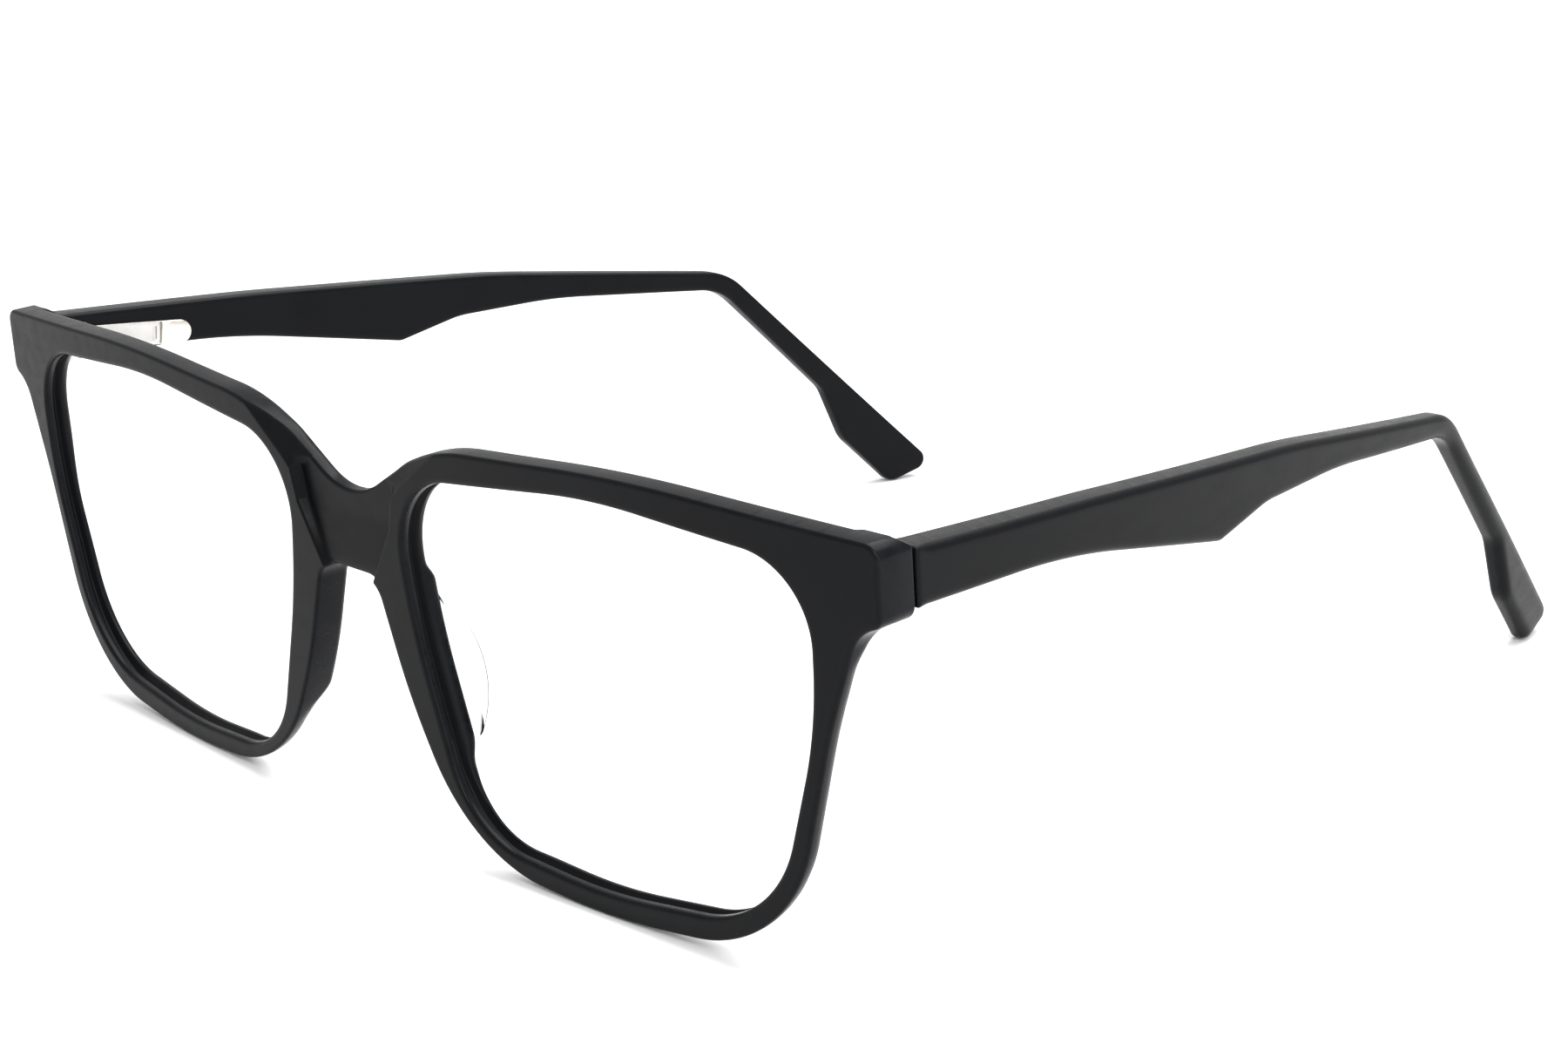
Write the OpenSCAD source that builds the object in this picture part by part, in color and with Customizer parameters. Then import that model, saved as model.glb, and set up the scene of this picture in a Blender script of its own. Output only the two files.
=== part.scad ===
// Acetate eyeglasses frame with spring hinges, standing open on its rims and arm tips.
// X runs across the front (+X is the wearer's left), the front faces -Y, Z is up.

/* [Front] */
// Half of the overall width across the end pieces
half_width = 71.8; // [71.5:0.1:73]
// Thickness of the front
front_t = 3.2; // [3:0.1:3.8]
// Thickness of the front where a nose pad sits
seat_t = 4; // [3.8:0.1:4.4]
// Radius of the front's gentle curve, seen from above
front_curve = 545; // [400:5:900]
// Lean of the front, its top towards the viewer
front_lean = 2.2; // [0:0.1:5]
// Height of the lens centre line above the table
lens_line_z = 26.52; // [26.4:0.01:26.7]
// Depth of the recessed bridge face behind the rims
bridge_recess = 1.2; // [1:0.1:2]
// Depth of the lens groove
groove_depth = 0.7; // [0.4:0.1:1]
// Width of the lens groove
groove_w = 1; // [0.8:0.1:1.4]

/* [Arms] */
// Thickness of an arm at the hinge
arm_t = 3.8; // [3.6:0.1:4]
// How much the inner face closes on the outer face, in degrees
arm_taper = 0.6; // [0.4:0.1:0.8]
// Radius of an arm's inward bow, seen from above
arm_bow = 650; // [600:10:800]
// Outer face of an arm at the hinge, from the middle
arm_out_x = 71.8; // [71.5:0.1:72.2]
// Inward slope of an arm at the hinge, in degrees
arm_toe = 3.15; // [2:0.05:4]
// Gap of the seam between the front and an arm
seam_gap = 0.2; // [0.1:0.05:0.3]
// Thickness of the core wire
wire_t = 1; // [0.8:0.1:1.2]

/* [Hinge] */
// Hinge pin's distance from the middle
pin_x = 66.3; // [66:0.1:66.5]
// Hinge pin's distance behind the seam
pin_back = 1.4; // [1.3:0.1:1.6]
// Height of the hinge's middle above the lens centre line
pin_v = 12.4; // [12:0.1:14]
// Radius of the hinge screw's shaft
screw_r = 0.6; // [0.5:0.05:0.7]
// Radial clearance of the screw in its knuckles
screw_clear = 0.05; // [0.02:0.01:0.08]
// Radius of a knuckle
knuckle_r = 1.3; // [1.2:0.05:1.3]
// Thickness of an outer knuckle
fork_t = 0.9; // [0.7:0.1:1.1]
// Thickness of the slider's knuckle
eye_t = 1; // [0.8:0.1:1.2]
// Downward slope of the spring box along the arm
box_drop = 5.6; // [5:0.2:9]
// Length from the pin to the spring box's rounded end
box_reach = 15.2; // [14:0.1:16]
// Height of the spring box
box_h = 2.8; // [2.6:0.1:3]
// How far the spring box stands proud of the arm
box_proud = 0.5; // [0.3:0.1:0.7]

/* [Nose pads] */
// Radius of a pad's curved edge
pad_r = 12.4; // [11:0.2:14]
// Thickness of a pad
pad_t = 2.2; // [1.8:0.1:2.6]
// How far a pad stands back from the rim
pad_depth = 3.5; // [3:0.1:4.5]

/* [Hidden] */
// Angle between the points of an outline's round corners
corner_step = 6;
// Flats along each gently curved face
curve_steps = 24;
// Distance behind the front's face, at the middle, of the seam plane
seam_depth = 9.1;
// Distance from the table's middle, along Y, to the front's face at the lens centre line
front_y = -66.56;
// Inner face, seen in the hinge frame
arm_in = arm_out_x - arm_t - pin_x;
pin_depth = seam_depth + pin_back;
box_in = arm_in - box_proud;
box_out = arm_in + 2.1;
fork_low = eye_t / 2 + screw_clear;
fork_high = fork_low + fork_t;
tongue_w = 1.6;
tongue_h = 1.8;
tongue_x = arm_in + 0.05;
shoulder_y = 6.4;
shoulder_t = 0.8;
rod_r = 0.4;
spring_l = 4.5;
coil_r = 0.66;
coil_wire_r = 0.14;
stop_y = shoulder_y + shoulder_t + spring_l;
stop_t = 0.8;
stop_r = 0.82;
bore_r = 0.95;
slide_clear = 0.05;
$fn = 48;

// Outlines are lists of corners: [x, y, radius].

function unit(v) = v / norm(v);
function flat(lists) = [for (l = lists) for (p = l) p];

// Points of one rounded corner at b, between the corners a and c
function corner(a, b, c, grow) =
    let (
        into = unit([b.x - a.x, b.y - a.y]),
        away = unit([c.x - b.x, c.y - b.y]),
        side = cross(into, away) >= 0 ? 1 : -1,
        turn = acos(max(-1, min(1, into * away))),
        start = [b.x, b.y] - into * b.z * tan(turn / 2),
        centre = start + side * b.z * [-into.y, into.x],
        first = atan2(start.y - centre.y, start.x - centre.x),
        steps = max(1, ceil(turn / corner_step)),
        r = b.z + side * grow
    )
    [for (i = [0 : steps]) centre + r * [cos(first + side * turn * i / steps),
                                         sin(first + side * turn * i / steps)]];

// A closed outline, counter-clockwise, moved outwards by grow
function rounded(c, grow = 0) =
    let (n = len(c))
    flat([for (i = [0 : n - 1]) corner(c[(i + n - 1) % n], c[i], c[(i + 1) % n], grow)]);

// The front's outer edge, right half, from the bridge's top round to its underside
edge_half = [
    [10.2, 13.9, 13], [16.5, 16.4, 26], [40.8, 17.95, 180], [half_width, 16.75, 1.6], [half_width, 9.4, 1.4],
    [69, 8.2, 4], [65.4, -1.9, 70], [59.4, -24.6, 17], [36.5, -26.85, 88],
    [16.2, -25.6, 19], [8.3, -10.5, 56], [4.6, 0.8, 3]
];
bridge_dip = [0, 7.7, 9];
// Counter-clockwise: left half downwards from the bridge, then the right half upwards
front_corners = concat(
    [bridge_dip],
    [for (c = edge_half) [-c.x, c.y, c.z]],
    [for (i = [len(edge_half) - 1 : -1 : 0]) edge_half[i]]
);

// One lens opening, counter-clockwise
lens_corners = [
    [8.6, 12.2, 8.5], [10.5, -3.2, 65], [16.6, -23.4, 11], [35.9, -24.5, 66],
    [57.7, -22.1, 14], [63.75, -1.3, 42], [64, 13.3, 8], [37.6, 15.2, 72]
];

// An arm's side view: distance behind the front's face and height above the table
arm_corners = [
    [5, 36.7, 0.8], [30, 36.3, 90], [54.5, 31.5, 2.4], [63, 33.4, 12], [77, 33.6, 70],
    [102, 31.1, 8], [117.5, 14.9, 5], [120.6, 7.3, 5], [128, -0.2, 2],
    [135, 1.7, 1.6], [103.2, 33.5, 9], [68, 38.3, 150], [34, 40.9, 200], [5, 42.5, 0.8]
];

// The core wire's side view, a flat band that follows the arm
wire_corners = [
    [16, 38.4, 0.1], [36, 37.6, 60], [56, 35.3, 60], [102.6, 31.4, 8], [117.9, 15.2, 0.5],
    [118.9, 16.2, 0.5], [103.1, 32.6, 9], [56, 37.2, 60], [36, 39.5, 60], [16, 40.4, 0.1]
];

module sides(right) {
    mirror([right ? 1 : 0, 0, 0]) children();
}

// From across, depth and height on the leaning front to the table
module front_frame() {
    translate([0, front_y, lens_line_z]) rotate([front_lean, 0, 0]) children();
}

// Hinge frame: the pin along Z, +X outwards, +Y backwards
module pin_frame() {
    front_frame() translate([pin_x, pin_depth, pin_v]) children();
}

// The spring box's frame: as the hinge frame, +Y along the arm
module box_frame() {
    pin_frame() rotate([-box_drop - front_lean, 0, arm_toe]) children();
}

// An outline drawn on the front, extruded through it
module through_front(points, from = -8, to = 20) {
    translate([0, to, 0]) rotate([90, 0, 0]) linear_extrude(to - from) polygon(points);
}

// Points of an arc round the origin
function arc(r, first, last, steps) =
    [for (i = [0 : steps]) let (a = first + (last - first) * i / steps) r * [cos(a), sin(a)]];

// Everything behind one of the front's curved surfaces
module behind_curve(depth) {
    reach = 9;
    far = 40;
    translate([0, front_curve, -60]) linear_extrude(120) polygon(concat(
        arc(front_curve - depth, 270 - reach, 270 + reach, curve_steps),
        [[100, far - front_curve], [-100, far - front_curve]]
    ));
}

// Keeps what lies between two of the front's curved surfaces
module curved_slab(from, to) {
    difference() {
        intersection() {
            children();
            behind_curve(from);
        }
        behind_curve(to);
    }
}

module lens_opening(grow = 0) {
    through_front(rounded(lens_corners, grow));
}

module lens_groove() {
    middle = front_t / 2;
    curved_slab(middle - groove_w / 2, middle + groove_w / 2) lens_opening(groove_depth);
}

// The end piece reaches back to the seam, its top falling towards the arm
module end_piece() {
    inner_x = 67.4;
    low_v = 8.9;
    high_v = 18;
    seam_top_v = 15.8;
    fall_depth = 7.2;
    fall_v = 17;
    translate([inner_x, 0, 0]) rotate([90, 0, 90]) linear_extrude(half_width + 1 - inner_x)
        polygon([[0, low_v], [seam_depth, low_v], [seam_depth, seam_top_v], [fall_depth, fall_v], [0, high_v]]);
}

// The rims are thicker behind the bridge's foot, where the nose pads sit
module pad_seat() {
    translate([4, 0, -16]) cube([13.5, 20, 18]);
}

// Everything behind the rims, apart from the end pieces and the pad seats
module rear_cut() {
    difference() {
        behind_curve(front_t);
        for (side = [0, 1]) mirror([side, 0, 0]) {
            end_piece();
            difference() {
                pad_seat();
                behind_curve(seat_t);
            }
        }
    }
}

// A recess between a half outline on the rims' faces and a narrower one on the bridge's own face
module bridge_recess_part(face, floor) {
    hull() {
        through_front(face, -2, 0);
        through_front(floor, -2, bridge_recess);
    }
}

// Steep walls beside the bridge, and a wide facet that climbs to the rims' top edges
module bridge_cut() {
    top = 20;
    bridge_recess_part([[0, -4], [1.8, -4], [7.9, 6.8], [8.7, 10.2], [6.6, 11.5], [0, 11.5]],
                       [[0, -4], [1.4, -4], [7.5, 6.8], [8.3, 10.1], [6.6, 11.2], [0, 11.2]]);
    bridge_recess_part([[0, 9], [6.6, 9], [6.6, top], [0, top]], [[0, 9], [6.6, 9], [6.6, top], [0, top]]);
    bridge_recess_part([[6.5, 10.1], [8.6, 10.1], [22, top], [6.5, top]],
                       [[6.4, 11.3], [6.6, 11.4], [18.2, top], [6.4, top]]);
}

module front_hinge_base() {
    plate = [3.3, 3.6, 3.4];
    translate([-2, -pin_back - plate.y, -plate.z / 2]) cube(plate);
}

module front() {
    color([0.06, 0.065, 0.075]) difference() {
        front_frame() difference() {
            intersection() {
                through_front(rounded(front_corners));
                behind_curve(0);
            }
            rear_cut();
            for (side = [0, 1]) mirror([side, 0, 0]) {
                lens_opening();
                lens_groove();
            }
            for (side = [0, 1]) mirror([side, 0, 0]) bridge_cut();
        }
        for (side = [0, 1]) mirror([side, 0, 0]) pin_frame() front_hinge_base();
    }
}

module nose_pad() {
    color([0.9, 0.92, 0.93, 0.4]) front_frame() difference() {
        intersection() {
            translate([8.2, seat_t + pad_depth - pad_r, -8.8]) rotate([0, -24, 0]) rotate([0, 0, -22])
                rotate([0, 90, 0]) cylinder(r = pad_r, h = pad_t, center = true, $fn = 180);
            behind_curve(seat_t);
        }
        translate([-40, -40, -60]) cube([80, 41, 120]);
    }
}

// Everything inside a bowed surface that runs along an arm, seen from above
module inside_bow(depth, taper) {
    toe = arm_toe - taper;
    turn_x = arm_out_x - depth - arm_bow * cos(toe);
    turn_y = front_y + seam_depth - arm_bow * sin(toe);
    translate([turn_x, turn_y, -10]) linear_extrude(70) polygon(concat(
        arc(arm_bow, 1, 17, curve_steps),
        [[20 - turn_x, 110 - turn_y], [20 - turn_x, -90 - turn_y]]
    ));
}

// Keeps what lies between two of an arm's bowed surfaces
module arm_layer(outer, inner, outer_taper, inner_taper) {
    difference() {
        intersection() {
            children();
            inside_bow(outer, outer_taper);
        }
        inside_bow(inner, inner_taper);
    }
}

// A side view extruded across one arm
module across_arm(points) {
    translate([40, front_y, 0]) rotate([90, 0, 90]) linear_extrude(40) polygon(points);
}

module behind_seam() {
    front_frame() translate([40, seam_depth + seam_gap, -40]) cube([40, 160, 70]);
}

module core_wire() {
    middle = arm_t / 2;
    color("silver") difference() {
        arm_layer(middle - wire_t / 2, middle + wire_t / 2, arm_taper / 2, arm_taper / 2)
            across_arm(rounded(wire_corners));
        box_frame() translate([-10, -20, -10]) cube([20, 20 + box_reach, 20]);
    }
}

module box_outline(x0, x1, y0, h, reach) {
    translate([x0, 0, 0]) rotate([90, 0, 90]) linear_extrude(x1 - x0) union() {
        translate([y0, -h / 2]) square([reach - h / 2 - y0, h]);
        translate([reach - h / 2, 0]) circle(d = h);
    }
}

module temple() {
    color([0.06, 0.065, 0.075]) difference() {
        intersection() {
            arm_layer(0, arm_t, 0, arm_taper) across_arm(rounded(arm_corners));
            behind_seam();
        }
        box_frame() box_outline(box_in - 2, box_out, 2.6, box_h, box_reach);
        // Open front of the pocket, where the slider's tongue comes out
        box_frame() translate([box_in - 2, -5, -1.6]) cube([box_out - box_in + 2, 7.7, 3.2]);
        core_wire();
    }
}

module front_hinge() {
    color("silver") pin_frame() {
        front_hinge_base();
        for (low = [fork_low, -fork_high]) translate([0, 0, low]) difference() {
            union() {
                cylinder(r = knuckle_r, h = fork_t);
                translate([-knuckle_r, -pin_back - 0.2, 0]) cube([2 * knuckle_r, pin_back + 0.2, fork_t]);
            }
            translate([0, 0, -1]) cylinder(r = screw_r + screw_clear, h = fork_t + 2);
        }
    }
}

module hinge_screw() {
    head_r = 1.1;
    head_t = 0.5;
    slot_w = 0.25;
    color("silver") pin_frame() difference() {
        union() {
            translate([0, 0, -fork_high]) cylinder(r = screw_r, h = 2 * fork_high + 0.1);
            translate([0, 0, fork_high + 0.05]) cylinder(r = head_r, h = head_t);
        }
        translate([-2, -slot_w / 2, fork_high + head_t - 0.2]) cube([4, slot_w, 1]);
    }
}

module slider() {
    color("gainsboro") {
        pin_frame() difference() {
            cylinder(r = knuckle_r, h = eye_t, center = true);
            cylinder(r = screw_r + screw_clear, h = 3, center = true);
        }
        difference() {
            hull() {
                pin_frame() translate([0.2, 0.5, 0]) cylinder(r = 0.75, h = eye_t, center = true, $fn = 32);
                pin_frame() translate([tongue_x - 0.1, 1.8, -eye_t / 2]) cube([tongue_w, 0.6, eye_t]);
            }
            pin_frame() cylinder(r = screw_r + screw_clear, h = 3, center = true);
        }
        box_frame() {
            translate([tongue_x, 2, -tongue_h / 2]) cube([tongue_w, 3, tongue_h]);
            translate([tongue_x + tongue_w / 2, 4.9, 0]) rotate([-90, 0, 0])
                cylinder(r = rod_r, h = stop_y + stop_t - 4.7);
        }
    }
}

module spring_box() {
    centre_x = tongue_x + tongue_w / 2;
    color("silver") box_frame() difference() {
        box_outline(box_in, box_out, 2.6, box_h, box_reach);
        translate([tongue_x - slide_clear, 0, -tongue_h / 2 - slide_clear])
            cube([tongue_w + 2 * slide_clear, shoulder_y, tongue_h + 2 * slide_clear]);
        translate([centre_x, 4, 0]) rotate([-90, 0, 0]) cylinder(r = rod_r + slide_clear, h = 4);
        translate([centre_x, shoulder_y + shoulder_t, 0]) rotate([-90, 0, 0])
            cylinder(r = bore_r, h = spring_l + stop_t + 0.9);
        translate([box_in - 1, 10.2, -0.8]) cube([1.25, 0.5, 1.6]);
    }
}

module box_cap() {
    raise = 0.35;
    color([0.75, 0.74, 0.71]) box_frame() difference() {
        box_outline(box_in - raise, box_in, 11.2, box_h, box_reach);
        translate([box_in - 1, 11, -2]) rotate([0, 0, 45]) cube([0.6, 0.6, 4]);
    }
}

// Rings of points round the coil's wire, one ring per step along the helix
module flex_spring() {
    turns = 6;
    rings_per_turn = 14;
    sides = 6;
    rings = turns * rings_per_turn;
    rise = (spring_l - 2 * coil_wire_r - 0.06) / turns;
    function ring(i) = let (
            a = 360 * i / rings_per_turn,
            out = [cos(a), 0, sin(a)],
            at = coil_r * out + [0, coil_wire_r + 0.03 + rise * i / rings_per_turn, 0]
        )
        [for (k = [0 : sides - 1]) at + coil_wire_r * (cos(360 * k / sides) * out
                                                      + sin(360 * k / sides) * [0, 1, 0])];
    points = flat([for (i = [0 : rings]) ring(i)]);
    function at(i, k) = i * sides + k % sides;
    walls = [for (i = [0 : rings - 1]) for (k = [0 : sides - 1])
        [at(i, k), at(i, k + 1), at(i + 1, k + 1), at(i + 1, k)]];
    ends = [[for (k = [sides - 1 : -1 : 0]) at(0, k)], [for (k = [0 : sides - 1]) at(rings, k)]];
    color("dimgray") box_frame() translate([tongue_x + tongue_w / 2, shoulder_y + shoulder_t, 0])
        polyhedron(points, concat(walls, ends));
}

module spring_stop() {
    color("silver") box_frame() translate([tongue_x + tongue_w / 2, stop_y, 0]) rotate([-90, 0, 0])
        difference() {
            cylinder(r = stop_r, h = stop_t);
            translate([0, 0, -1]) cylinder(r = rod_r, h = stop_t + 2);
        }
}

front();
sides(true) nose_pad();  // nose_pad_right
sides(false) nose_pad();  // nose_pad_left
sides(true) temple();  // temple_right
sides(false) temple();  // temple_left
sides(true) core_wire();  // core_wire_right
sides(false) core_wire();  // core_wire_left
sides(true) front_hinge();  // front_hinge_right
sides(false) front_hinge();  // front_hinge_left
sides(true) hinge_screw();  // hinge_screw_right
sides(false) hinge_screw();  // hinge_screw_left
sides(true) spring_box();  // spring_box_right
sides(false) spring_box();  // spring_box_left
sides(true) box_cap();  // box_cap_right
sides(false) box_cap();  // box_cap_left
sides(true) slider();  // slider_right
sides(false) slider();  // slider_left
sides(true) flex_spring();  // flex_spring_right
sides(false) flex_spring();  // flex_spring_left
sides(true) spring_stop();  // spring_stop_right
sides(false) spring_stop();  // spring_stop_left
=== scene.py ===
"""Looks of the acetate eyeglasses frame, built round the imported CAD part.

Lengths are millimetres until a mesh is made, where MM turns them into metres.
"""

import math

import bmesh
import bpy
import numpy as np
from mathutils import Matrix, Vector
from mathutils.geometry import delaunay_2d_cdt


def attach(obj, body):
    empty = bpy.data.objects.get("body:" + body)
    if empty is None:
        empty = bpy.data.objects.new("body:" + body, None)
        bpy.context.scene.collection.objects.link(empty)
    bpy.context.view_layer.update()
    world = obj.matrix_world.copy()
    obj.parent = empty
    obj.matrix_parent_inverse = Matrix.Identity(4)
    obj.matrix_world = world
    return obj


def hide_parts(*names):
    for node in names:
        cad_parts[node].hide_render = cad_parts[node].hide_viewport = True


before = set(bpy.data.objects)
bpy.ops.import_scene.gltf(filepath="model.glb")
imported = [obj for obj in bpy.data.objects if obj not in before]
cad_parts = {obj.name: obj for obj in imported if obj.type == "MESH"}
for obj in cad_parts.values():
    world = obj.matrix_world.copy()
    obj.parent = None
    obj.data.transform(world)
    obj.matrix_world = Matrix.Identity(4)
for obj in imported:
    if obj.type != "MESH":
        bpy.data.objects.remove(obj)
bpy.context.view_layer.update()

MM = 0.001

# The frame's own sizes, as in the CAD source
HALF_WIDTH, FRONT_T, SEAT_T, FRONT_CURVE = 71.8, 3.2, 4.0, 545.0
FRONT_LEAN, FRONT_Y, LENS_Z = 2.2, -66.56, 26.52
SEAM_DEPTH, BRIDGE_RECESS = 9.1, 1.2
ARM_T, ARM_TAPER, ARM_BOW, ARM_OUT_X, ARM_TOE = 3.8, 0.6, 650.0, 71.8, 3.15
PIN_X, PIN_BACK, PIN_V, BOX_DROP = 66.3, 1.4, 12.4, 5.6
BOX_REACH, BOX_H, BOX_DEPTH = 15.2, 2.8, 2.1
PAD_R, PAD_T, PAD_DEPTH = 12.4, 2.2, 3.5
PAD_X, PAD_V, PAD_LEAN, PAD_TURN = 8.2, -8.8, -24, -22
INSET = 0.06  # how far the fine outlines stay inside the CAD's flats
SKIN = 0.02  # how far the fine surfaces stay inside the CAD's faces

EDGE_HALF = [
    (10.2, 13.9, 13), (16.5, 16.4, 26), (40.8, 17.95, 180), (HALF_WIDTH, 16.75, 1.6), (HALF_WIDTH, 9.4, 1.4),
    (69, 8.2, 4), (65.4, -1.9, 70), (59.4, -24.6, 17), (36.5, -26.85, 88),
    (16.2, -25.6, 19), (8.3, -10.5, 56), (4.6, 0.8, 3),
]
BRIDGE_DIP = (0, 7.7, 9)
FRONT_CORNERS = [BRIDGE_DIP] + [(-x, y, r) for x, y, r in EDGE_HALF] + EDGE_HALF[::-1]
LENS_CORNERS = [
    (8.6, 12.2, 8.5), (10.5, -3.2, 65), (16.6, -23.4, 11), (35.9, -24.5, 66),
    (57.7, -22.1, 14), (63.75, -1.3, 42), (64, 13.3, 8), (37.6, 15.2, 72),
]
SEAM_LOW, SEAM_HIGH = 8.92, 8.7
ARM_CORNERS = [
    (SEAM_LOW, 36.7, 0.35), (30, 36.3, 90), (54.5, 31.5, 2.4), (63, 33.4, 12), (77, 33.6, 70),
    (102, 31.1, 8), (117.5, 14.9, 5), (120.6, 7.3, 5), (128, -0.2, 2),
    (135, 1.7, 1.6), (103.2, 33.5, 9), (68, 38.3, 150), (34, 40.9, 200), (SEAM_HIGH, 42.35, 0.35),
]


# ---------- outlines ----------

def unit(v):
    return v / np.linalg.norm(v)


def rounded(corners, grow=0.0, spacing=0.45, turn_step=5.0):
    """Points of a closed outline with (x, y, radius) corners, counter-clockwise, moved outwards by grow."""
    c = np.array(corners, float)
    n = len(c)
    runs = []
    for i in range(n):
        a, b, d = c[i - 1][:2], c[i][:2], c[(i + 1) % n][:2]
        into, away = unit(b - a), unit(d - b)
        side = 1 if into[0] * away[1] - into[1] * away[0] >= 0 else -1
        turn = math.acos(max(-1.0, min(1.0, float(into @ away))))
        r = c[i][2]
        start = b - into * r * math.tan(turn / 2)
        centre = start + side * r * np.array([-into[1], into[0]])
        first = math.atan2(start[1] - centre[1], start[0] - centre[0])
        rr = r + side * grow
        steps = max(1, math.ceil(math.degrees(turn) / turn_step), math.ceil(turn * rr / spacing))
        runs.append([centre + rr * np.array([math.cos(first + side * turn * k / steps),
                                             math.sin(first + side * turn * k / steps)]) for k in range(steps + 1)])
    points = []
    for i in range(n):
        points += runs[i]
        a, b = runs[i][-1], runs[(i + 1) % n][0]
        gaps = max(1, math.ceil(np.linalg.norm(b - a) / spacing))
        points += [a + (b - a) * k / gaps for k in range(1, gaps)]
    return np.array(points)


def normals_of(loop):
    """Outward normals of a counter-clockwise outline."""
    t = np.roll(loop, -1, 0) - np.roll(loop, 1, 0)
    t /= np.linalg.norm(t, axis=1)[:, None]
    return np.stack([t[:, 1], -t[:, 0]], 1)


def distance(points, loop, block=2000):
    """Distance of each point to a closed outline."""
    a, b = loop, np.roll(loop, -1, 0)
    ab = b - a
    ll = (ab ** 2).sum(1)
    out = np.empty(len(points))
    for i in range(0, len(points), block):
        p = points[i:i + block, None, :]
        t = np.clip(((p - a) * ab).sum(2) / ll, 0, 1)
        out[i:i + block] = np.sqrt((((a + t[..., None] * ab) - p) ** 2).sum(2).min(1))
    return out


def inside(points, loop, block=4000):
    """Whether each point lies inside a closed outline."""
    a, b = loop, np.roll(loop, -1, 0)
    out = np.zeros(len(points), bool)
    for i in range(0, len(points), block):
        x, y = points[i:i + block, 0:1], points[i:i + block, 1:2]
        cross = (a[:, 1] > y) != (b[:, 1] > y)
        at = a[:, 0] + (y - a[:, 1]) * (b[:, 0] - a[:, 0]) / np.where(b[:, 1] == a[:, 1], 1e-9, b[:, 1] - a[:, 1])
        out[i:i + block] = (cross & (x < at)).sum(1) % 2 == 1
    return out


def smooth(x, low, high):
    """Rises from 0 at low to 1 at high."""
    t = np.clip((x - low) / (high - low), 0, 1)
    return t * t * (3 - 2 * t)


def edge_round(d, r):
    """How far a surface has dropped at distance d from an edge of radius r."""
    k = np.clip(r - d, 0, None)
    return r - np.sqrt(np.clip(r * r - k * k, 0, None))


# ---------- meshes ----------

def new_object(name, mesh):
    obj = bpy.data.objects.new(name, mesh)
    bpy.context.scene.collection.objects.link(obj)
    return obj


def turn_faces_outwards(mesh):
    bm = bmesh.new()
    bm.from_mesh(mesh)
    bmesh.ops.recalc_face_normals(bm, faces=bm.faces)
    bm.to_mesh(mesh)
    bm.free()


def finish_piece(obj, body, node):
    """obj rides on body and stands for the CAD's node, which it hides."""
    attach(obj, body)
    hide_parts(node)
    return obj


# ---------- sheets: two surfaces over one flat outline, joined by walls ----------

def triangulate(outer, holes, rings_out, rings_in, extra=None, grid=0.9):
    """Points and triangles of the flat region between outer and holes, finer near its edges."""
    loops = [outer] + holes
    clouds = []
    for k, loop in enumerate(loops):
        n = normals_of(loop)
        sign = -1 if k == 0 else 1
        for d in (rings_out if k == 0 else rings_in):
            q = loop + sign * n * d
            near = np.array([distance(q, other) for other in loops])
            own = near[k]
            rest = np.delete(near, k, 0).min(0) if len(loops) > 1 else np.full(len(q), 1e9)
            ok = (own > 0.985 * d) & (own < rest - 0.03 * (k + 1)) & inside(q, outer)
            for h in holes:
                ok &= ~inside(q, h)
            clouds.append(q[ok])
    low, high = outer.min(0), outer.max(0)
    gx, gy = np.meshgrid(np.arange(low[0], high[0], grid), np.arange(low[1], high[1], grid * 0.87))
    gx[1::2] += grid / 2
    g = np.stack([gx.ravel(), gy.ravel()], 1)
    keep = inside(g, outer) & (distance(g, outer) > max(rings_out) + 0.35)
    for h in holes:
        keep &= ~inside(g, h)
        keep &= distance(g, h) > max(rings_in) + 0.35
    clouds.append(g[keep])
    if extra is not None:
        ok = inside(extra, outer) & (distance(extra, outer) > 0.12)
        for h in holes:
            ok &= ~inside(extra, h) & (distance(extra, h) > 0.12)
        clouds.append(extra[ok])
    edges, base = [], 0
    for loop in loops:
        m = len(loop)
        edges += [(base + i, base + (i + 1) % m) for i in range(m)]
        base += m
    every = np.vstack(loops + clouds)
    res = delaunay_2d_cdt([Vector(p) for p in every], edges, [], 0, 1e-5)
    pts = np.array([tuple(p) for p in res[0]])
    tri = np.array([f for f in res[2] if len(f) == 3])
    where = {}
    for new, old in enumerate(res[3]):
        for o in old:
            where[o] = new
    mid = pts[tri].mean(1)
    ok = inside(mid, outer)
    for h in holes:
        ok &= ~inside(mid, h)
    tri = tri[ok]
    area = np.cross(pts[tri[:, 1]] - pts[tri[:, 0]], pts[tri[:, 2]] - pts[tri[:, 0]])
    tri[area < 0] = tri[area < 0][:, ::-1]
    indices, base = [], 0
    for loop in loops:
        indices.append([where[base + i] for i in range(len(loop))])
        base += len(loop)
    return pts, tri, indices


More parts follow.
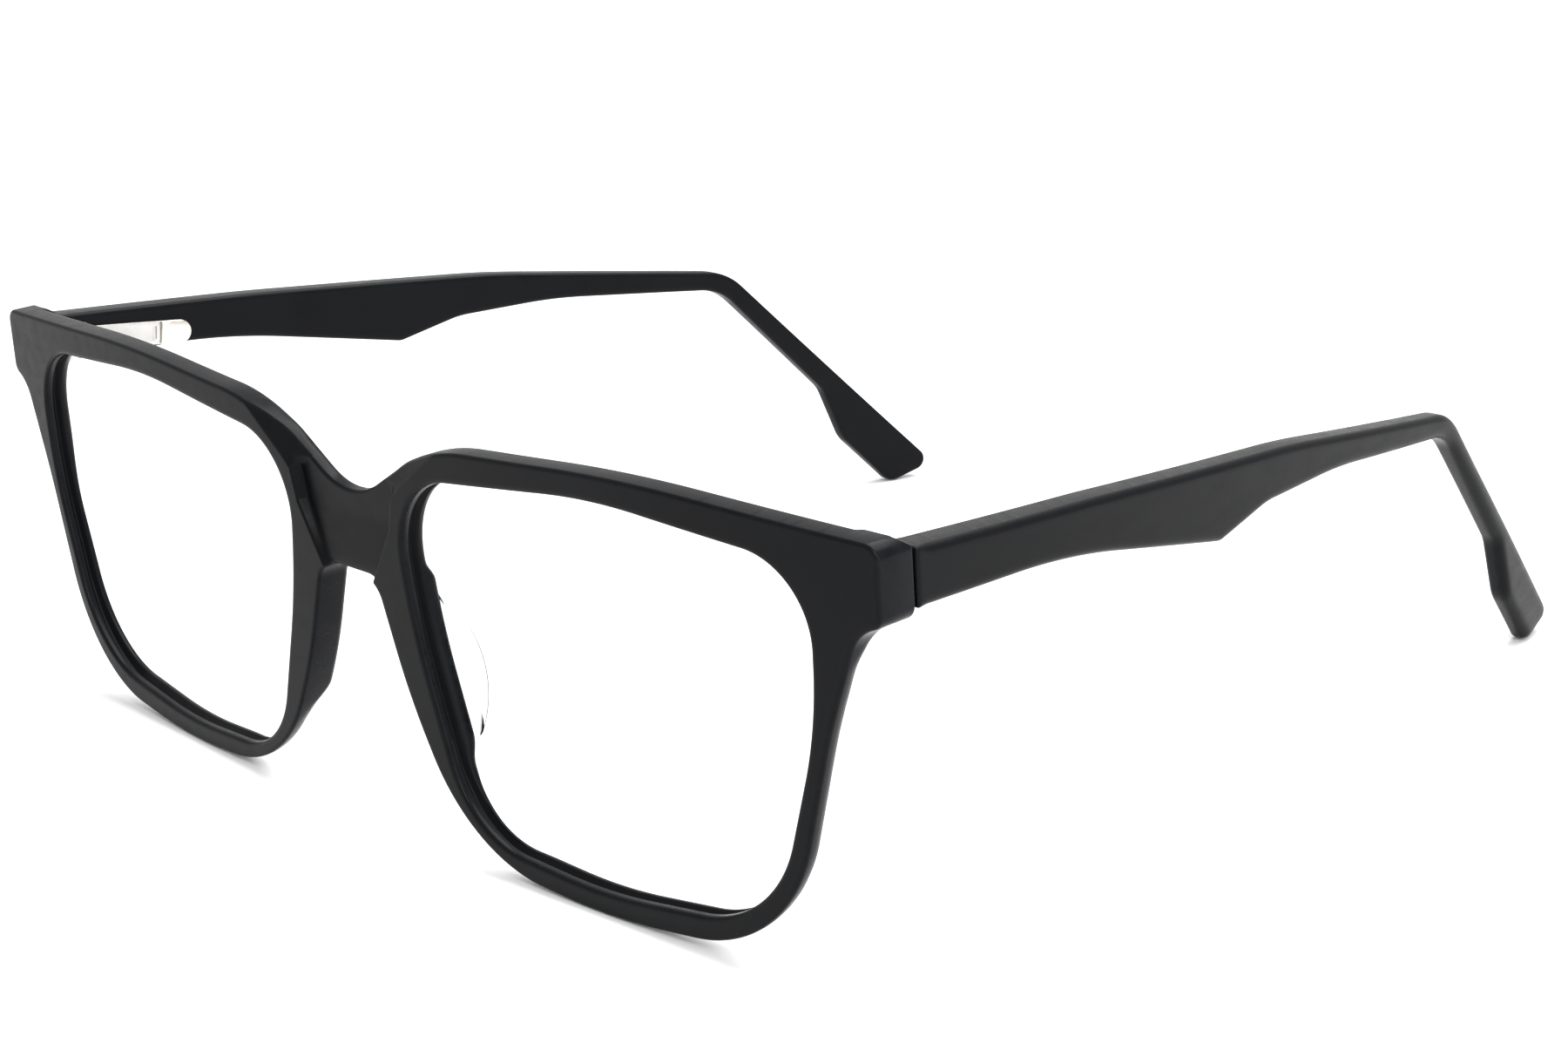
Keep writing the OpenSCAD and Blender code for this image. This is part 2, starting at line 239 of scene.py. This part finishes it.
def sheet_mesh(name, pts, tri, loops, lower, upper, place, wear, groove=None):
    """A closed mesh between the surfaces lower and upper.

    place turns (a, b, depth) rows into positions. wear is the edge_wear of each point of a surface. groove is a
    list of (offset into the wall, function that gives the depth at a point) round each hole.
    """
    n = len(pts)
    verts = [np.column_stack([pts, lower]), np.column_stack([pts, upper])]
    faces = [tuple(f) for f in tri] + [tuple(n + f[::-1]) for f in tri]
    count = 2 * n
    weights = [wear, wear]
    for k, loop in enumerate(loops):
        rows = [list(loop)]
        if k > 0 and groove is not None:
            out = normals_of(pts[loop])
            for offset, depth in groove:
                rows.append([count + i for i in range(len(loop))])
                at = pts[loop] + out * offset
                verts.append(np.column_stack([at, depth(pts[loop])]))
                weights.append(np.zeros(len(loop)))
                count += len(loop)
        rows.append([n + i for i in loop])
        m = len(loop)
        for a, b in zip(rows[:-1], rows[1:]):
            for i in range(m):
                j = (i + 1) % m
                quad = (a[i], b[i], b[j], a[j])
                faces.append(quad if k == 0 else quad[::-1])
    mesh = bpy.data.meshes.new(name)
    mesh.from_pydata([Vector(p) * MM for p in place(np.vstack(verts))], [], [tuple(int(i) for i in f) for f in faces])
    attribute = mesh.attributes.new("edge_wear", "FLOAT", "POINT")
    attribute.data.foreach_set("value", np.concatenate(weights).astype(np.float32))
    turn_faces_outwards(mesh)
    mesh.shade_smooth()
    return new_object(name, mesh)


def mirrored(p, side):
    q = p.copy()
    q[:, 0] *= side
    return q


# ---------- frames ----------

def rot(axis, degrees):
    return Matrix.Rotation(math.radians(degrees), 4, axis)


FRONT_FRAME = Matrix.Translation((0, FRONT_Y, LENS_Z)) @ rot("X", FRONT_LEAN)
PIN_FRAME = FRONT_FRAME @ Matrix.Translation((PIN_X, SEAM_DEPTH + PIN_BACK, PIN_V))
BOX_FRAME = PIN_FRAME @ rot("Z", ARM_TOE) @ rot("X", -BOX_DROP - FRONT_LEAN)


def apply_matrix(m, p):
    a = np.array(m)
    return p @ a[:3, :3].T + a[:3, 3]


# ---------- the front ----------

# Inner side and underside of the end pieces, and the heights between which their tops fall to the seam
BLOCK_X, BLOCK_V = 67.4, 8.5
BLOCK_FALL_V = (15.7, 16.9)
BLOCK_FALL_DEPTH = (SEAM_DEPTH - 0.02, 7.3)
# The lens groove's section: (offset into the rim, depth behind the front's face)
GROOVE = ((0.0, 0.95), (0.1, 1.03), (0.62, 1.3), (0.7, 1.5), (0.62, 1.7), (0.1, 1.97), (0.0, 2.05))


def curve_depth(u):
    return FRONT_CURVE - np.sqrt(FRONT_CURVE ** 2 - u * u)


# (height above the lens centre line, half-width of the bridge recess): at the rims' faces and on its floor
RECESS_FACE = ((-6, 0.6), (1.7, 5), (6.8, 7.9), (10.2, 8.7), (20, 22))
RECESS_FLOOR = ((-6, 0.15), (1.7, 4.3), (6.8, 7.45), (10.1, 8.2), (10.6, 7.4), (11.4, 6.6), (20, 18.2))
# (height, depth of the floor), shallower at the bridge's foot
RECESS_DEPTH = ((1.7, 0.55 * BRIDGE_RECESS), (6.8, BRIDGE_RECESS))


def at_height(v, rows):
    return np.interp(v, [r[0] for r in rows], [r[1] for r in rows])


def recess(u, v):
    """How deep the bridge's face lies behind the rims' faces."""
    outer, floor = at_height(v, RECESS_FACE), at_height(v, RECESS_FLOOR)
    t = np.clip((outer - np.abs(u)) / (outer - floor), 0, 1)
    soft = 0.08
    t = np.where(t < soft, t * t / (2 * soft), t - soft / 2)
    return at_height(v, RECESS_DEPTH) * np.minimum(t / (1 - soft / 2), 1)


def build_front():
    outer = rounded(FRONT_CORNERS, -INSET)
    lens = rounded(LENS_CORNERS, 0.02)
    hole_left = lens
    hole_right = (lens * [-1, 1])[::-1]
    v = np.arange(-6, 20, 0.2)
    lines = []
    for rows, shifts in ((RECESS_FACE, (-0.2, -0.1, 0.0, 0.08, 0.3)), (RECESS_FLOOR, (-0.3, -0.08, 0.0, 0.1, 0.22))):
        edge = at_height(v, rows)
        for shift in shifts:
            for s in (-1, 1):
                lines.append(np.column_stack([s * (edge + shift), v]))
    w = np.arange(BLOCK_V, 17, 0.4)
    for shift in (-0.35, -0.15, 0.05, 0.25, 0.45):
        for s in (-1, 1):
            lines.append(np.column_stack([np.full(len(w), s * (BLOCK_X + shift)), w]))
    rings_out = (0.02, 0.07, 0.15, 0.28, 0.5, 0.8, 1.2, 1.7, 2.3, 3.0)
    rings_in = (0.03, 0.09, 0.2, 0.38, 0.65, 1.0, 1.5)
    pts, tri, loops = triangulate(outer, [hole_left, hole_right], rings_out, rings_in, np.vstack(lines))
    u, w = pts[:, 0], pts[:, 1]
    au = np.abs(u)
    d_out = distance(pts, outer)
    d_in = np.minimum(distance(pts, hole_left), distance(pts, hole_right))
    front_edge, rim_edge, rear_rim_edge, block_edge = 0.34, 0.4, 0.9, 0.3
    rear_edge, full_round = 0.9, 1.9
    lower = curve_depth(u) + SKIN + recess(u, w) + edge_round(d_out, front_edge) + edge_round(d_in, rim_edge)
    # The rear edge is a full round along the rims' sides and undersides, and tighter along the top
    turn_v = -17 + 23.5 * smooth(au, 30, 50)
    full = 1 - smooth(w, turn_v - 2.5, turn_v + 2.5)
    rear_r = rear_edge + full_round * full
    # Thicker where a nose pad sits
    seat = smooth(w, -17.5, -14.5) * (1 - smooth(w, 1, 3)) * (1 - smooth(au, 16.5, 18.5)) * smooth(au, 3, 5)
    thick = FRONT_T + (SEAT_T - FRONT_T) * seat
    back = curve_depth(u) + thick - SKIN
    block = smooth(au, BLOCK_X - 0.15, BLOCK_X + 0.35) * smooth(w, BLOCK_V - 0.1, BLOCK_V + 0.7)
    fall = np.interp(w, BLOCK_FALL_V, BLOCK_FALL_DEPTH)
    back = np.maximum(back, back + (fall - back) * block)
    rear_r = rear_r * (1 - block) + block_edge * block
    upper = back - edge_round(d_out, rear_r) - edge_round(d_in, rear_rim_edge) * (1 - block)
    upper = np.maximum(upper, lower + 0.05)
    wear = np.exp(-np.minimum(d_out, d_in) / 0.35)

    def place(p):
        return apply_matrix(FRONT_FRAME, p[:, [0, 2, 1]])

    def at(depth):
        return lambda q: curve_depth(q[:, 0]) + depth

    groove = [(offset, at(depth)) for offset, depth in GROOVE]
    obj = sheet_mesh("front_acetate", pts, tri, loops, lower, upper, place, wear, groove)
    return finish_piece(obj, "front", "front")


# ---------- the arms ----------

def bowed(y, depth, taper):
    """X of an arm's surface that lies depth inside its outer face and closes on it by taper degrees."""
    toe = math.radians(ARM_TOE - taper)
    turn_x = ARM_OUT_X - depth - ARM_BOW * math.cos(toe)
    turn_y = FRONT_Y + SEAM_DEPTH - ARM_BOW * math.sin(toe)
    return turn_x + np.sqrt(ARM_BOW ** 2 - (y - turn_y) ** 2)


def build_arm(side, word):
    outline = rounded(ARM_CORNERS, -INSET, 0.5)
    rings = (0.02, 0.07, 0.15, 0.28, 0.48, 0.75, 1.1, 1.6)
    pts, tri, loops = triangulate(outline, [], rings, rings, None, 0.9)
    s, z = pts[:, 0], pts[:, 1]
    d = distance(pts, outline)
    y = FRONT_Y + s
    to_tip = smooth(s, 96, 112)
    at_seam = 1 - smooth(s, 8.9, 10.5)
    # The edges are rounder towards the tip, and crisp at the seam
    outer_r = (0.75 + 0.55 * to_tip) * (1 - at_seam) + 0.35 * at_seam
    inner_r = 0.55 * (1 - at_seam) + 0.3 * at_seam
    outer = bowed(y, 0.0, 0.0) - SKIN - edge_round(d, outer_r)
    inner = bowed(y, ARM_T, ARM_TAPER) + 0.01 + edge_round(d, inner_r)
    wear = np.exp(-d / 0.4)

    def place(p):
        return mirrored(np.column_stack([p[:, 2], FRONT_Y + p[:, 0], p[:, 1]]), side)

    obj = sheet_mesh("arm_acetate_" + word, pts, tri, loops, inner, outer, place, wear)
    pocket(obj, side)
    return finish_piece(obj, "temple_" + word, "temple_" + word)


def capsule(y0, reach, h, steps=24):
    """A (y, z) outline, square at y0 and round at reach."""
    r = h / 2
    arc = [(reach - r + r * math.cos(a), r * math.sin(a))
           for a in (math.radians(-90 + 180 * k / steps) for k in range(steps + 1))]
    return [(y0, -r)] + arc + [(y0, r)]


def prism(name, outline, x0, x1, matrix, side):
    """A prism of a (y, z) outline between x0 and x1 in the frame matrix."""
    m = len(outline)
    p = np.array([(x, y, z) for x in (x0, x1) for y, z in outline], float)
    q = mirrored(apply_matrix(matrix, p), side)
    faces = [tuple(range(m)), tuple(range(2 * m - 1, m - 1, -1))]
    faces += [(i, i + m, (i + 1) % m + m, (i + 1) % m) for i in range(m)]
    mesh = bpy.data.meshes.new(name)
    mesh.from_pydata([Vector(v) * MM for v in q], [], faces)
    turn_faces_outwards(mesh)
    return new_object(name, mesh)


def cut(obj, cutter):
    mod = obj.modifiers.new("cut", "BOOLEAN")
    mod.operation, mod.solver, mod.object = "DIFFERENCE", "EXACT", cutter
    apply_modifiers(obj)
    bpy.data.objects.remove(cutter)


def apply_modifiers(obj):
    bpy.context.view_layer.update()
    done = bpy.data.meshes.new_from_object(obj.evaluated_get(bpy.context.evaluated_depsgraph_get()))
    obj.modifiers.clear()
    obj.data = done


def pocket(obj, side):
    """The slot on the arm's inner face that the spring box lies in."""
    arm_in = ARM_OUT_X - ARM_T - PIN_X
    play = 0.04
    floor_x = arm_in + BOX_DEPTH + play
    slot = capsule(1.0, BOX_REACH + play, BOX_H + 2 * play)
    cut(obj, prism("pocket", slot, arm_in - 2, floor_x, BOX_FRAME, side))
    mouth = [(-5, -1.6), (2.7, -1.6), (2.7, 1.6), (-5, 1.6)]
    cut(obj, prism("mouth", mouth, arm_in - 3, floor_x + 0.02, BOX_FRAME, side))
    obj.data.set_sharp_from_angle(angle=math.radians(40))


# ---------- nose pads ----------

def build_pad(side, word):
    """A round-edged disc, slightly dished, cut off flat where it meets the rim's rear."""
    edge_r = 0.95
    dish = 0.25
    half = PAD_T / 2
    steps = 10
    profile = [(0.0, half - dish), (PAD_R * 0.55, half - 0.12), (PAD_R - edge_r - 1.5, half - 0.02)]
    profile += [(PAD_R - edge_r + edge_r * math.sin(math.radians(90 * k / steps)),
                 half - edge_r + edge_r * math.cos(math.radians(90 * k / steps))) for k in range(steps + 1)]
    profile += [(r, -x) for r, x in profile[::-1]]
    around = 200
    verts, faces, painted_rim_shade = [], [], []
    for k in range(around):
        a = 2 * math.pi * k / around
        # Weight of the painted shade along the pad's outer rim: 1 at the very edge, fading out within about 0.3 mm
        painted_rim_shade += [math.exp(-(PAD_R - r) / 0.1) for r, _ in profile if r > 0]
        verts += [(x, (r - SKIN) * math.cos(a), (r - SKIN) * math.sin(a)) for r, x in profile if r > 0]
    rows = len([1 for r, _ in profile if r > 0])
    top, bottom = len(verts), len(verts) + 1
    verts += [(half - dish, 0, 0), (-half + dish, 0, 0)]
    painted_rim_shade += [0.0, 0.0]
    for k in range(around):
        a, b = k * rows, (k + 1) % around * rows
        faces += [(a + i, b + i, b + i + 1, a + i + 1) for i in range(rows - 1)]
        faces += [(top, b, a), (bottom, a + rows - 1, b + rows - 1)]
    middle = Matrix.Translation((PAD_X, SEAT_T + PAD_DEPTH - PAD_R, PAD_V))
    pad_frame = FRONT_FRAME @ middle @ rot("Y", PAD_LEAN) @ rot("Z", PAD_TURN)
    q = mirrored(apply_matrix(pad_frame, np.array(verts)), side)
    name = "clear_nose_pad_" + word
    mesh = bpy.data.meshes.new(name)
    mesh.from_pydata([Vector(p) * MM for p in q], [], faces)
    mesh.attributes.new("painted_rim_shade", "FLOAT", "POINT").data.foreach_set("value", painted_rim_shade)
    bm = bmesh.new()
    bm.from_mesh(mesh)
    seat = FRONT_FRAME @ Vector((0, SEAT_T + 0.16, 0)) * MM
    normal = (FRONT_FRAME.to_3x3() @ Vector((0, 1, 0))).normalized()
    every = bm.verts[:] + bm.edges[:] + bm.faces[:]
    cut_at = bmesh.ops.bisect_plane(bm, geom=every, plane_co=seat, plane_no=normal, clear_inner=True)
    rim = [e for e in cut_at["geom_cut"] if isinstance(e, bmesh.types.BMEdge)]
    bmesh.ops.contextual_create(bm, geom=rim)
    bmesh.ops.recalc_face_normals(bm, faces=bm.faces)
    bm.to_mesh(mesh)
    bm.free()
    mesh.shade_smooth()
    mesh.set_sharp_from_angle(angle=math.radians(50))
    return finish_piece(new_object(name, mesh), "front", "nose_pad_" + word)


# ---------- metal pieces: the CAD shape with its edges broken ----------

def softened(node, body, width):
    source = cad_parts[node]
    mesh = source.data.copy()
    mesh.materials.clear()
    bm = bmesh.new()
    bm.from_mesh(mesh)
    bmesh.ops.remove_doubles(bm, verts=bm.verts, dist=2e-6)
    bmesh.ops.dissolve_limit(bm, angle_limit=math.radians(1), verts=bm.verts, edges=bm.edges)
    bm.to_mesh(mesh)
    bm.free()
    obj = new_object(node + "_finished", mesh)
    mod = obj.modifiers.new("edges", "BEVEL")
    mod.width, mod.segments, mod.limit_method, mod.angle_limit = width * MM, 3, "ANGLE", math.radians(50)
    mod.use_clamp_overlap = True
    mod.harden_normals = False
    apply_modifiers(obj)
    obj.data.shade_smooth()
    obj.data.set_sharp_from_angle(angle=math.radians(35))
    return finish_piece(obj, body, node)


# ---------- materials ----------

class Nodes:
    """A material's node tree, with the few kinds of node that the pieces need."""

    def __init__(self, name):
        self.mat = bpy.data.materials.new(name)
        self.mat.use_nodes = True
        self.tree = self.mat.node_tree
        self.shader = self.tree.nodes["Principled BSDF"]
        self.coords = self.tree.nodes.new("ShaderNodeTexCoord").outputs["Object"]

    def new(self, kind, **values):
        node = self.tree.nodes.new("ShaderNode" + kind)
        for key, value in values.items():
            if key in node.inputs:
                node.inputs[key].default_value = value
            else:
                setattr(node, key, value)
        return node

    def link(self, a, b):
        self.tree.links.new(a, b)

    def noise(self, per_metre, detail=3.0, rough=0.5, stretch=(1, 1, 1)):
        mapping = self.new("Mapping")
        mapping.inputs["Scale"].default_value = stretch
        self.link(self.coords, mapping.inputs["Vector"])
        node = self.new("TexNoise", Scale=per_metre, Detail=detail, Roughness=rough)
        self.link(mapping.outputs["Vector"], node.inputs["Vector"])
        return node.outputs["Fac"]

    def spread(self, value, low, high, from_low=0.3, from_high=0.7):
        node = self.new("MapRange")
        for key, number in zip(("From Min", "From Max", "To Min", "To Max"), (from_low, from_high, low, high)):
            node.inputs[key].default_value = number
        self.link(value, node.inputs["Value"])
        return node.outputs["Result"]

    def mix(self, factor, a, b):
        node = self.new("Mix", data_type="RGBA")
        for index, colour in ((6, a), (7, b)):
            if isinstance(colour, tuple):
                node.inputs[index].default_value = (*colour, 1)
            else:
                self.link(colour, node.inputs[index])
        self.link(factor, node.inputs[0])
        return node.outputs[2]

    def maths(self, operation, a, b):
        node = self.new("Math", operation=operation)
        for index, value in enumerate((a, b)):
            if isinstance(value, (int, float)):
                node.inputs[index].default_value = value
            else:
                self.link(value, node.inputs[index])
        return node.outputs[0]

    def bump(self, layers):
        """layers are (height, strength, distance in metres), from the coarsest on."""
        last = None
        for height, strength, reach in layers:
            node = self.new("Bump", Strength=strength, Distance=reach)
            self.link(height, node.inputs["Height"])
            if last is not None:
                self.link(last, node.inputs["Normal"])
            last = node.outputs["Normal"]
        self.link(last, self.shader.inputs["Normal"])


def acetate(name, dark, light, stretch):
    m = Nodes(name)
    clouds = m.noise(90, 3)
    grain = m.noise(5200, 2, 0.6, stretch)
    drawn = m.noise(900, 4, 0.65, tuple(s * 0.6 for s in stretch))
    wear = m.new("Attribute", attribute_name="edge_wear").outputs["Fac"]
    base = m.mix(m.spread(clouds, 0, 1), dark, light)
    worn = m.maths("MULTIPLY", wear, m.spread(drawn, 0.05, 0.35))
    m.link(m.mix(worn, base, tuple(3.2 * c for c in light)), m.shader.inputs["Base Color"])
    rough = m.maths("ADD", m.spread(drawn, 0.3, 0.4), m.spread(grain, -0.03, 0.03))
    m.link(m.maths("SUBTRACT", rough, m.maths("MULTIPLY", wear, 0.08)), m.shader.inputs["Roughness"])
    m.bump([(drawn, 0.10, 0.00003), (grain, 0.16, 0.000012)])
    m.shader.inputs["Specular IOR Level"].default_value = 0.09
    m.shader.inputs["IOR"].default_value = 1.48
    return m.mat


def metal(name, colour, low, high, stretch, tint):
    m = Nodes(name)
    drawn = m.noise(2600, 4, 0.6, stretch)
    marks = m.noise(600, 3, 0.7)
    m.link(m.mix(m.spread(marks, 0, 0.5), colour, tint), m.shader.inputs["Base Color"])
    m.link(m.maths("ADD", m.spread(drawn, low, high), m.spread(marks, -0.04, 0.06)), m.shader.inputs["Roughness"])
    m.bump([(marks, 0.08, 0.00004), (drawn, 0.2, 0.000012)])
    m.shader.inputs["Metallic"].default_value = 1.0
    return m.mat


def clear_plastic(name):
    m = Nodes(name)
    haze = m.noise(260, 3)
    fine = m.noise(2400, 2)
    clear = m.mix(m.spread(haze, 0, 1), (0.97, 0.98, 0.985), (0.94, 0.955, 0.965))
    # Painted shade: the pad's outer rim is coloured near black to stand in for the dark edge of the clear plastic
    edge = m.new("Attribute", attribute_name="painted_rim_shade").outputs["Fac"]
    m.link(m.mix(edge, clear, (0.02, 0.02, 0.022)), m.shader.inputs["Base Color"])
    m.link(m.spread(fine, 0.02, 0.06), m.shader.inputs["Roughness"])
    m.bump([(haze, 0.05, 0.00008)])
    m.shader.inputs["Transmission Weight"].default_value = 1.0
    m.shader.inputs["IOR"].default_value = 1.3
    return m.mat


def paint(obj, mat):
    obj.data.materials.clear()
    obj.data.materials.append(mat)


front_mat = acetate("acetate_front", (0.0022, 0.0024, 0.003), (0.0034, 0.0037, 0.0045), (1, 1, 1))
arm_mat = acetate("acetate_arm", (0.0021, 0.0023, 0.0028), (0.0032, 0.0035, 0.0042), (1, 0.35, 1))
pad_mat = clear_plastic("clear_pad_plastic")
steel = metal("satin_steel", (0.62, 0.61, 0.59), 0.28, 0.42, (1, 0.15, 1), (0.5, 0.49, 0.47))
cap_steel = metal("polished_cap", (0.74, 0.70, 0.64), 0.16, 0.26, (1, 0.3, 1), (0.66, 0.61, 0.55))
screw_steel = metal("turned_screw", (0.66, 0.65, 0.63), 0.22, 0.34, (1, 1, 0.2), (0.52, 0.51, 0.5))
wire_steel = metal("drawn_wire", (0.4, 0.4, 0.41), 0.25, 0.4, (1, 0.2, 1), (0.3, 0.3, 0.31))

paint(build_front(), front_mat)
for side, word in ((1, "left"), (-1, "right")):
    paint(build_arm(side, word), arm_mat)
    paint(build_pad(side, word), pad_mat)
    paint(softened("front_hinge_" + word, "front", 0.1), steel)
    paint(softened("hinge_screw_" + word, "screw_" + word, 0.06), screw_steel)
    paint(softened("slider_" + word, "slider_" + word, 0.06), steel)
    paint(softened("spring_box_" + word, "temple_" + word, 0.08), steel)
    paint(softened("box_cap_" + word, "temple_" + word, 0.14), cap_steel)
    paint(softened("spring_stop_" + word, "slider_" + word, 0.05), screw_steel)
    for node in ("core_wire_" + word, "flex_spring_" + word):
        paint(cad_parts[node], wire_steel)


# ---------- floor, light, camera ----------

def build_floor():
    mesh = bpy.data.meshes.new("floor")
    r = 4.0
    mesh.from_pydata([(-r, -r, 0), (r, -r, 0), (r, r, 0), (-r, r, 0)], [], [(0, 1, 2, 3)])
    floor = new_object("floor", mesh)
    m = Nodes("pale_floor")
    m.link(m.mix(m.noise(3, 2), (0.90, 0.90, 0.90), (0.88, 0.88, 0.885)), m.shader.inputs["Base Color"])
    m.shader.inputs["Roughness"].default_value = 0.6
    m.shader.inputs["Specular IOR Level"].default_value = 0.15
    paint(floor, m.mat)


def area_light(name, place, target, size, watts, colour=(1, 1, 1)):
    data = bpy.data.lights.new(name, "AREA")
    data.shape, data.size, data.size_y, data.energy, data.color = "RECTANGLE", size[0], size[1], watts, colour
    obj = new_object(name, data)
    obj.location = place
    obj.rotation_euler = (Vector(target) - Vector(place)).to_track_quat("-Z", "Y").to_euler()


build_floor()
world = bpy.data.worlds.new("studio")
bpy.context.scene.world = world
world.use_nodes = True
world.node_tree.nodes["Background"].inputs["Color"].default_value = (1, 1, 1, 1)
world.node_tree.nodes["Background"].inputs["Strength"].default_value = 0.85
area_light("overhead", (0.05, 0.25, 0.75), (0, 0, 0.02), (0.9, 0.6), 8.5)
area_light("side", (0.8, 0.0, 0.3), (0, -0.02, 0.02), (0.35, 0.5), 1.8)
area_light("front_right", (0.5, -0.3, 0.42), (-0.02, -0.06, 0.03), (0.25, 0.25), 1.6)

EYE = Vector((0.247531, -0.167617 + FRONT_Y * MM, 0.118046))
RIGHT, FORWARD = (0.682, 0.731, -0.029), (-0.707, 0.649, -0.282)
cam = bpy.data.cameras.new("camera")
cam.sensor_width, cam.lens, cam.sensor_fit = 36, 70.82, "HORIZONTAL"
cam.clip_start, cam.clip_end = 0.005, 20
camera = new_object("camera", cam)
right, forward = Vector(RIGHT).normalized(), Vector(FORWARD).normalized()
right = (right - right.dot(forward) * forward).normalized()
up = right.cross(forward)
turn = Matrix((right, up, -forward)).transposed().to_4x4()
camera.matrix_world = Matrix.Translation(EYE) @ turn
bpy.context.scene.camera = camera
bpy.context.scene.view_settings.view_transform = "Standard"
